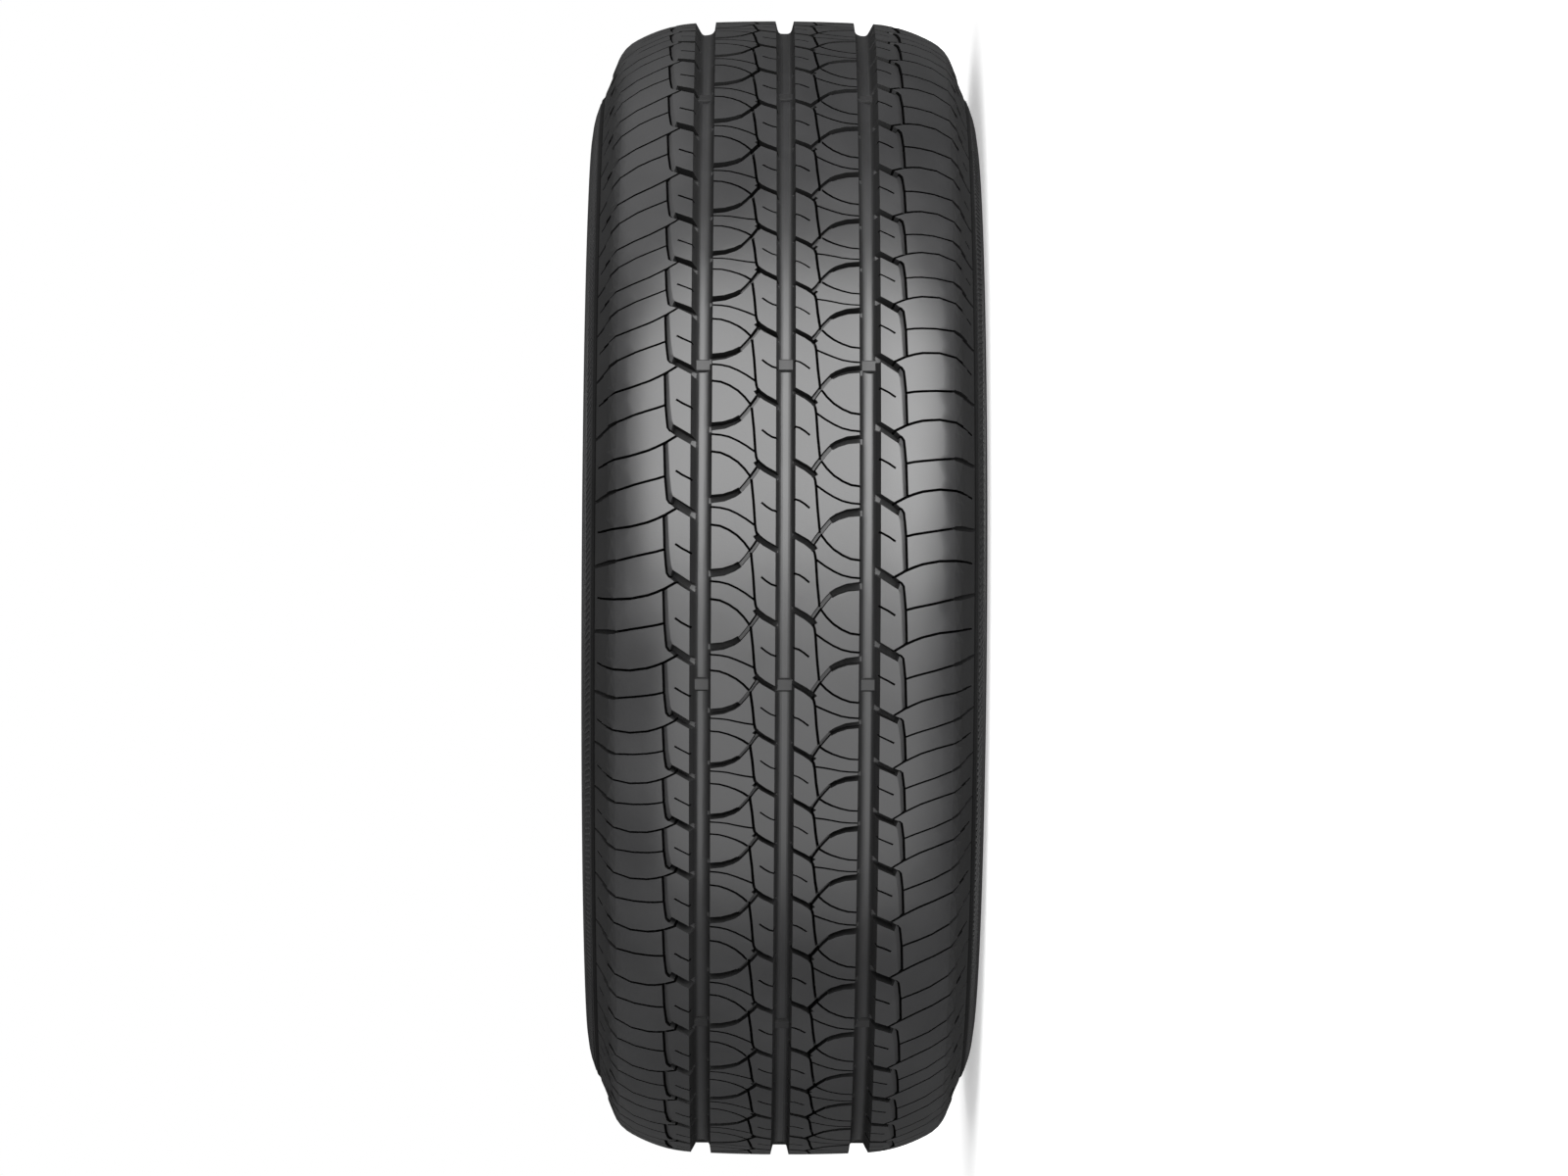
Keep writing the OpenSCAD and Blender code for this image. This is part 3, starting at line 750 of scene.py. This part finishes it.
# The ends of the bars that are set on the rubber, as (height, place round the tyre) in shares of the bar's
# size. The foot is sunk in the rubber. A wear indicator's ends slope, and a serration's top is narrow.
WEAR_BAR = ((-0.5, -0.5), (0.1, -0.5), (0.7, -0.45), (1.0, -0.38), (1.0, 0.38), (0.7, 0.45), (0.1, 0.5),
            (-0.5, 0.5))
RIB_BAR = ((-1.0, -0.5), (-0.06, -0.2), (-0.06, 0.2), (-1.0, 0.5))
# Angles of the first three rows of wear indicators in degrees. The rest are spread over what is left.
FIRST_WEAR_ANGLES = (221.7, 260.7, 291.9)
# The middle of each main groove, in millimetres
WEAR_PLACES = (0.0, 48.7, -48.7)
WEAR_ACROSS = 0.0084
# Painted shade of a wear indicator: its top a little darker than the blocks, and its ends darker still where
# they would catch the light.
WEAR_TOP_SHADE, WEAR_END_SHADE = 0.3, 0.65
# Radii between which the serrations lie in their band, and how far they lean from the radius
SERRATED_FROM, SERRATED_TO = 295.9, 304.3
SERRATION_LEAN = math.radians(30.0)
SERRATION_ROUND, SERRATION_ACROSS = 0.0026, 0.0086
# Painted light and shade of a serration: its top painted lighter than its sides so that it reads.
SERRATION_TOP_SHADE, SERRATION_SIDE_SHADE = 0.2, 0.5


def bar_mesh(name, end, top_shade, side_shade):
    """A bar with the given end: X its height, Y its size round the tyre and Z its size across, each of 1."""
    count, top = len(end), max(height for height, _ in end)
    mesh = bpy.data.meshes.new(name)
    sides = [(i, (i + 1) % count, (i + 1) % count + count, i + count) for i in range(count)]
    caps = [tuple(range(count))[::-1], tuple(range(count, 2 * count))]
    mesh.from_pydata([(x, y, z) for z in (-0.5, 0.5) for x, y in end], [], sides + caps)
    shades = [top_shade if end[face[0]][0] == end[face[1]][0] == top else side_shade for face in sides]
    give(mesh, "shade", "FACE", shades + [side_shade] * len(caps))
    return mesh


def places_mesh(name, places):
    """One point for each bar, from ((radius, angle, z), (angles about X, Y and Z that turn the bar))."""
    mesh = bpy.data.meshes.new(name)
    points = [(r * math.cos(a) * MM, r * math.sin(a) * MM, z * MM) for (r, a, z), _ in places]
    mesh.from_pydata(points, [], [])
    turns = [angle for _, turn in places for angle in turn]
    mesh.attributes.new("turn", "FLOAT_VECTOR", "POINT").data.foreach_set("vector", turns)
    return mesh


def wear_places(rows):
    """Place and turn of each wear indicator, on the floors of the main grooves."""
    first = FIRST_WEAR_ANGLES
    gap = (360.0 + first[0] - first[-1]) / (rows - len(first) + 1)
    angles = list(first) + [first[-1] + gap * (i + 1) for i in range(rows - len(first))]
    return [((tread_radius(z) - GROOVE_DEPTH, a, z), (0.0, 0.0, a))
            for a in map(math.radians, angles) for z in WEAR_PLACES]


def serration_places(count):
    """Place and turn of each rib in the serrated bands of both sidewalls."""
    low, middle, high = (
        np.array([np.interp(along_radius(radius), HALF_LENGTH, HALF[:, i]) for i in (0, 1)])
        for radius in (SERRATED_FROM, (SERRATED_FROM + SERRATED_TO) / 2, SERRATED_TO))
    run = high - low
    return [((middle[1], a, side * middle[0]), (SERRATION_LEAN, math.atan2(-side * run[1], -run[0]), a))
            for side in (1, -1) for a in np.linspace(0.0, 2.0 * math.pi, count, endpoint=False)]


def bar_tree(name):
    """Node tree that sets a bar at each point, turned as the point says."""
    t, given = geometry_tree(name, ("Bar",), {"Height": MM, "Round": MM, "Across": MM})
    facing = t.node("FunctionNodeEulerToRotation", {0: t.attribute("turn", "FLOAT_VECTOR")})
    size = t.node("ShaderNodeCombineXYZ", {"X": given["Height"], "Y": given["Round"], "Z": given["Across"]})
    copies = t.node("GeometryNodeInstanceOnPoints", {
        "Points": given["Geometry"], "Instance": t.geometry_of(given["Bar"]), "Rotation": facing.outputs[0],
        "Scale": size.outputs[0]})
    return t.finish(copies.outputs["Instances"], given["Rubber"])


def evaluated(name, base, tree, values):
    """The result of a node tree on a mesh, as a plain mesh object. values maps input names to values."""
    obj = holder(name, base)
    modifier = obj.modifiers.new("build", "NODES")
    modifier.node_group = tree.tree
    for key, value in values.items():
        modifier[tree.sockets[key]] = value
    graph = bpy.context.evaluated_depsgraph_get()
    mesh = bpy.data.meshes.new_from_object(obj.evaluated_get(graph), depsgraph=graph)
    mesh.name = name
    obj.modifiers.remove(modifier)
    obj.data = mesh
    return obj


def read(source, key, kind, width=1):
    """Values of a collection, as rows of so many numbers."""
    values = np.empty(len(source) * width, kind)
    source.foreach_get(key, values)
    return values.reshape(-1, width) if width > 1 else values


def smooth_tread(mesh):
    """Smooth shading that follows the true section where the surface is at one depth, and keeps the edges."""
    mesh.shade_smooth()
    mesh.set_sharp_from_angle(angle=SHARP_ANGLE)
    depth = read(mesh.attributes["depth"].data, "value", np.float32)
    facing = read(mesh.attributes["facing"].data, "vector", np.float32, 3)
    vert = read(mesh.loops, "vertex_index", np.int32)
    normal = read(mesh.corner_normals, "vector", np.float32, 3)
    start = read(mesh.polygons, "loop_start", np.int32)
    total = read(mesh.polygons, "loop_total", np.int32)
    corner_depth = depth[vert]
    low, high = np.minimum.reduceat(corner_depth, start), np.maximum.reduceat(corner_depth, start)
    level = np.repeat(high - low < LEVEL, total)
    normal[level] = facing[vert[level]]
    mesh.normals_split_custom_set(normal.tolist())
    for name in ("facing", "ahead"):
        mesh.attributes.remove(mesh.attributes[name])


def finish_piece(obj):
    """Places a piece on its body."""
    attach(obj, BODY)


def set_bars(name, bar, places, size):
    """Makes one piece of the copies of a bar, with its size as (height, round the tyre, across)."""
    feed = holder("bar", bar)
    values = dict(zip(("Height", "Round", "Across"), size), Bar=feed, Rubber=bpy.data.materials[RUBBER])
    obj = evaluated(name, places_mesh(name, places), bar_tree(name.replace("_", " ").capitalize()), values)
    bpy.data.objects.remove(feed)
    finish_piece(obj)


def emptied(owner):
    """The node tree of a material or a world, emptied."""
    owner.use_nodes = True
    owner.node_tree.nodes.clear()
    return Tree(owner.node_tree)


def grain_group():
    """Fine moulded skin of rubber, as a height and a mask of soft cloudy variation."""
    t = Tree(bpy.data.node_groups.new("Rubber Grain", "ShaderNodeTree"))
    for key, value in (("Grain Size", 0.0009), ("Cloud Size", 0.05)):
        t.socket(key, "NodeSocketFloat", value=value)
    for key in ("Height", "Clouds"):
        t.socket(key, "NodeSocketFloat", "OUTPUT")
    given = t.node("NodeGroupInput").outputs
    place = t.node("ShaderNodeTexCoord").outputs["Object"]
    fine, clouds = (
        t.node("ShaderNodeTexNoise", {"Vector": place, "Scale": t.math("DIVIDE", 1.0, given[size]),
                                      "Detail": detail, "Roughness": roughness}).outputs[0]
        for size, detail, roughness in (("Grain Size", 3.0, 0.6), ("Cloud Size", 4.0, 0.55)))
    t.node("NodeGroupOutput", {"Height": fine, "Clouds": clouds})
    return t.tree


def rubber_material(look):
    """Black tread rubber: satin block tops, grooves painted darker and duller as painted shade, and a fine
    moulded skin.
    """
    material = bpy.data.materials.new(RUBBER)
    t = emptied(material)
    grain = t.node("ShaderNodeGroup", node_tree=grain_group()).outputs
    # The shade attribute is painted shade: it darkens the colour, takes off the gloss and roughens the
    # rubber.
    low = t.node("ShaderNodeAttribute", attribute_name="shade", attribute_type="GEOMETRY").outputs["Fac"]
    cloud = t.node("ShaderNodeMapRange", {"Value": grain["Clouds"], "From Min": 0.35, "From Max": 0.65,
                                          "To Min": 0.92, "To Max": 1.08}).outputs[0]
    # Painted shade: the colour runs from the blocks' colour to the painted groove shade colour.
    tone = t.node("ShaderNodeMix", {0: low, 6: tuple(look.block_colour) + (1.0,),
                                    7: tuple(look.groove_shade_colour) + (1.0,)}, data_type="RGBA").outputs[2]
    cloudy = t.node("ShaderNodeCombineColor", {0: cloud, 1: cloud, 2: cloud}).outputs[0]
    varied = t.node("ShaderNodeMix", {0: 1.0, 6: tone, 7: cloudy}, data_type="RGBA", blend_type="MULTIPLY")
    rough = t.node("ShaderNodeMapRange", {
        "Value": grain["Clouds"], "From Min": 0.3, "From Max": 0.7,
        "To Min": look.roughness - 0.04, "To Max": look.roughness + 0.05}).outputs[0]
    rough = t.math("MULTIPLY_ADD", low, 0.9 - look.roughness, rough)
    skin = t.node("ShaderNodeBump", {"Strength": 0.25, "Distance": 0.0002, "Height": grain["Height"]})
    # Metallic takes the pale gloss off the walls and floors of the grooves, as painted shade where the gloss
    # would be shaded.
    shader = t.node("ShaderNodeBsdfPrincipled", {
        "Base Color": varied.outputs[2], "Roughness": rough, "Normal": skin.outputs[0], "Metallic": low,
        "IOR": 1.6, "Specular IOR Level": 0.9})
    t.node("ShaderNodeOutputMaterial", {"Surface": shader.outputs[0]})
    return material


class TyreLook(bpy.types.PropertyGroup):
    """Colours and finish of the rubber, with a painted shade colour for the grooves."""
    block_colour: bpy.props.FloatVectorProperty(
        name="Block Colour", description="Colour of the tread blocks and sidewalls", subtype="COLOR", size=3,
        min=0.0, max=1.0, default=(0.029, 0.029, 0.030))
    # Painted shade: the colour that the walls and floors of the grooves are painted, darker where shade
    # falls.
    groove_shade_colour: bpy.props.FloatVectorProperty(
        name="Groove Colour", description="Colour down in the grooves", subtype="COLOR", size=3,
        min=0.0, max=1.0, default=(0.010, 0.010, 0.010))
    roughness: bpy.props.FloatProperty(
        name="Roughness", description="Roughness of the rubber", default=0.34, min=0.25, max=0.9)


class TyreForm(bpy.types.PropertyGroup):
    """Sizes of what is set round the tyre."""
    wear_rows: bpy.props.IntProperty(
        name="Wear Rows", description="Rows of wear indicators round the tyre", default=10, min=3, max=12)
    wear_height: bpy.props.FloatProperty(
        name="Wear Height", description="Height of a wear indicator above the groove floor", default=0.0016,
        min=0.001, max=0.003, subtype="DISTANCE", unit="LENGTH")
    wear_length: bpy.props.FloatProperty(
        name="Wear Length", description="Length of a wear indicator round the tyre", default=0.008, min=0.004,
        max=0.012, subtype="DISTANCE", unit="LENGTH")
    serrations: bpy.props.IntProperty(
        name="Serrations", description="Ribs in the serrated band of each sidewall", default=480, min=240,
        max=560)
    serration_height: bpy.props.FloatProperty(
        name="Serration Height", description="Height of a rib, with the foot that is sunk in the rubber",
        default=0.0009, min=0.0006, max=0.0012, subtype="DISTANCE", unit="LENGTH")


class TYRE_OT_casing(bpy.types.Operator):
    """Make the tyre: casing, sidewalls, beads and the tread of every pitch"""
    bl_idname = "tyre.casing"
    bl_label = "Make Tyre"

    def execute(self, context):
        material = rubber_material(context.scene.tyre_look)
        pitch, section = holder("pitch", pitch_mesh()), holder("section", section_mesh())
        obj = evaluated(RUBBER, ring_mesh(), ring_tree(), {
            "Pitch": pitch, "Section": section, "Rubber": material})
        for feed in (pitch, section):
            bpy.data.objects.remove(feed)
        smooth_tread(obj.data)
        finish_piece(obj)
        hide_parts(NODE)
        return {"FINISHED"}


class TYRE_OT_wear_indicators(bpy.types.Operator):
    """Set the rows of wear indicators in the main grooves"""
    bl_idname = "tyre.wear_indicators"
    bl_label = "Set Wear Indicators"

    def execute(self, context):
        form = context.scene.tyre_form
        bar = bar_mesh("wear_bar", WEAR_BAR, WEAR_TOP_SHADE, WEAR_END_SHADE)
        set_bars("wear_indicators", bar, wear_places(form.wear_rows),
                 (form.wear_height, form.wear_length, WEAR_ACROSS))
        return {"FINISHED"}


class TYRE_OT_serrations(bpy.types.Operator):
    """Set the fine ribs in the band round each sidewall"""
    bl_idname = "tyre.serrations"
    bl_label = "Set Serrations"

    def execute(self, context):
        form = context.scene.tyre_form
        bar = bar_mesh("serration", RIB_BAR, SERRATION_TOP_SHADE, SERRATION_SIDE_SHADE)
        set_bars("sidewall_serrations", bar, serration_places(form.serrations),
                 (form.serration_height, SERRATION_ROUND, SERRATION_ACROSS))
        return {"FINISHED"}


# Each softbox as (name, degrees up from the tread, degrees to the right of it as the picture shows them,
# width across the picture, height, brightness where 1 is white, and whether it is mirrored). One that isn't
# mirrored gives soft light alone, with no highlight.
SOFTBOXES = (
    ("key", 34.0, 5.0, 8.0, 4.1, 3.05, True),
    ("right", 28.0, 38.0, 2.3, 3.0, 0.9, True),
    ("top", 74.0, -10.0, 4.0, 1.4, 0.16, True),
    ("far left", 124.0, 54.0, 2.6, 2.6, 0.3, True),
    ("fill", -32.0, 10.0, 5.0, 3.8, 0.9, True),
    ("low", -85.0, 0.0, 5.0, 4.0, 1.25, False),
    ("back", 180.0, 0.0, 5.0, 5.0, 1.6, False),
    ("overhead", 0.0, -90.0, 4.0, 4.0, 1.5, False),
)
SOFTBOX_DISTANCE = 3.2
WHITE = (1.0, 1.0, 1.0, 1.0)
# Light of the world on the object, beside the white that the camera sees
WORLD_LIGHT = 0.08
FLOOR_COLOUR = (0.85, 0.85, 0.85, 1.0)
FLOOR_HALF = 30
# The floor glows toward the camera, so that it ends in white, as (distance from the axle, glow).
FLOOR_GLOW = ((0.5, 0.42), (2.2, 1.0))
CAMERA_LENS, CAMERA_DISTANCE, CAMERA_ALONG = 163.2, 4.48, -0.0014
# Angle of the camera round the axle and its roll, in degrees
CAMERA_ROUND, CAMERA_ROLL = -0.34, 0.27


def softbox(name, up, right, width, height, glow, mirrored):
    """A softbox that faces the tread."""
    data = bpy.data.lights.new(name, "AREA")
    data.shape, data.size, data.size_y = "RECTANGLE", width, height
    data.energy = glow * math.pi * width * height
    up, right = math.radians(up), math.radians(right)
    way = Vector((math.sin(up), -math.cos(up) * math.cos(right), -math.cos(up) * math.sin(right)))
    obj = holder(name, data)
    obj.location = Vector((0.0, -OUTER_DIAMETER / 2, 0.0)) + SOFTBOX_DISTANCE * way
    obj.rotation_euler = (-way).to_track_quat("-Z", "X").to_euler()
    obj.visible_glossy = mirrored
    obj.visible_camera = False


def make_floor():
    """A white floor that the tyre lies on. It keeps the tyre's shadow and lights nothing."""
    mesh = bpy.data.meshes.new("floor")
    corners = [(x * FLOOR_HALF, y * FLOOR_HALF, LOW[2]) for x, y in ((-1, -1), (1, -1), (1, 1), (-1, 1))]
    mesh.from_pydata(corners, [], [(0, 1, 2, 3)])
    floor = holder("floor", mesh)
    material = bpy.data.materials.new("floor")
    t = emptied(material)
    pale = t.node("ShaderNodeBsdfDiffuse", {"Color": FLOOR_COLOUR}).outputs[0]
    place = t.node("ShaderNodeSeparateXYZ", {0: t.node("ShaderNodeTexCoord").outputs["Object"]}).outputs
    x, y = (t.math("MULTIPLY", place[key], place[key]) for key in ("X", "Y"))
    (near, near_glow), (far, far_glow) = FLOOR_GLOW
    glow = t.node("ShaderNodeMapRange", {
        "Value": t.math("SQRT", t.math("ADD", x, y)), "From Min": near, "From Max": far,
        "To Min": near_glow, "To Max": far_glow}).outputs[0]
    seen = t.math("MULTIPLY", t.node("ShaderNodeLightPath").outputs["Is Camera Ray"], glow)
    white = t.node("ShaderNodeEmission", {"Color": WHITE, "Strength": seen}).outputs[0]
    both = t.node("ShaderNodeAddShader", {0: pale, 1: white}).outputs[0]
    t.node("ShaderNodeOutputMaterial", {"Surface": both})
    mesh.materials.append(material)
    floor.visible_shadow = floor.visible_glossy = floor.visible_diffuse = False


def make_world():
    """A world that is white to the camera and gives the object a faint even light."""
    world = bpy.data.worlds.new("studio")
    t = emptied(world)
    seen = t.node("ShaderNodeLightPath").outputs["Is Camera Ray"]
    strength = t.math("MULTIPLY_ADD", seen, 1.0 - WORLD_LIGHT, WORLD_LIGHT)
    back = t.node("ShaderNodeBackground", {"Color": WHITE, "Strength": strength}).outputs[0]
    t.node("ShaderNodeOutputWorld", {"Surface": back})
    return world


def make_camera():
    """A level camera in front of the tread, on its side so that the tread stands upright in the picture."""
    data = bpy.data.cameras.new("camera")
    data.lens, data.sensor_width = CAMERA_LENS, 36.0
    data.clip_end = 100.0
    obj = holder("camera", data)
    roll = Matrix.Rotation(math.radians(CAMERA_ROLL), 4, "Z")
    round_tyre = Matrix.Rotation(math.radians(CAMERA_ROUND), 4, "X")
    on_side = Matrix(((0, 1, 0, 0), (0, 0, -1, 0), (-1, 0, 0, 0), (0, 0, 0, 1)))
    back = Matrix.Translation((0.0, -CAMERA_DISTANCE, CAMERA_ALONG))
    obj.matrix_world = round_tyre @ back @ on_side @ roll
    return obj


class TYRE_OT_stage(bpy.types.Operator):
    """Make the floor, the world, the softboxes and the camera"""
    bl_idname = "tyre.stage"
    bl_label = "Make Stage"

    def execute(self, context):
        scene = context.scene
        make_floor()
        scene.world = make_world()
        for box in SOFTBOXES:
            softbox(*box)
        scene.camera = make_camera()
        scene.view_settings.view_transform = "Standard"
        return {"FINISHED"}


class TYRE_PT_panel(bpy.types.Panel):
    """Lists the tyre's settings and operators"""
    bl_label = "Tyre"
    bl_idname = "TYRE_PT_panel"
    bl_space_type = "VIEW_3D"
    bl_region_type = "UI"
    bl_category = "Tyre"

    def draw(self, context):
        for group in (context.scene.tyre_form, context.scene.tyre_look):
            for key in group.__annotations__:
                self.layout.prop(group, key)
        for operator in OPERATORS:
            self.layout.operator(operator.bl_idname)


OPERATORS = (TYRE_OT_casing, TYRE_OT_wear_indicators, TYRE_OT_serrations, TYRE_OT_stage)
CLASSES = (TyreLook, TyreForm) + OPERATORS + (TYRE_PT_panel,)


def register():
    for cls in CLASSES:
        bpy.utils.register_class(cls)
    bpy.types.Scene.tyre_look = bpy.props.PointerProperty(type=TyreLook)
    bpy.types.Scene.tyre_form = bpy.props.PointerProperty(type=TyreForm)


def unregister():
    del bpy.types.Scene.tyre_form
    del bpy.types.Scene.tyre_look
    for cls in reversed(CLASSES):
        bpy.utils.unregister_class(cls)


def main():
    """Build the tyre and its stage."""
    register()
    bpy.ops.tyre.casing()
    bpy.ops.tyre.wear_indicators()
    bpy.ops.tyre.serrations()
    bpy.ops.tyre.stage()


if __name__ == "__main__":
    main()
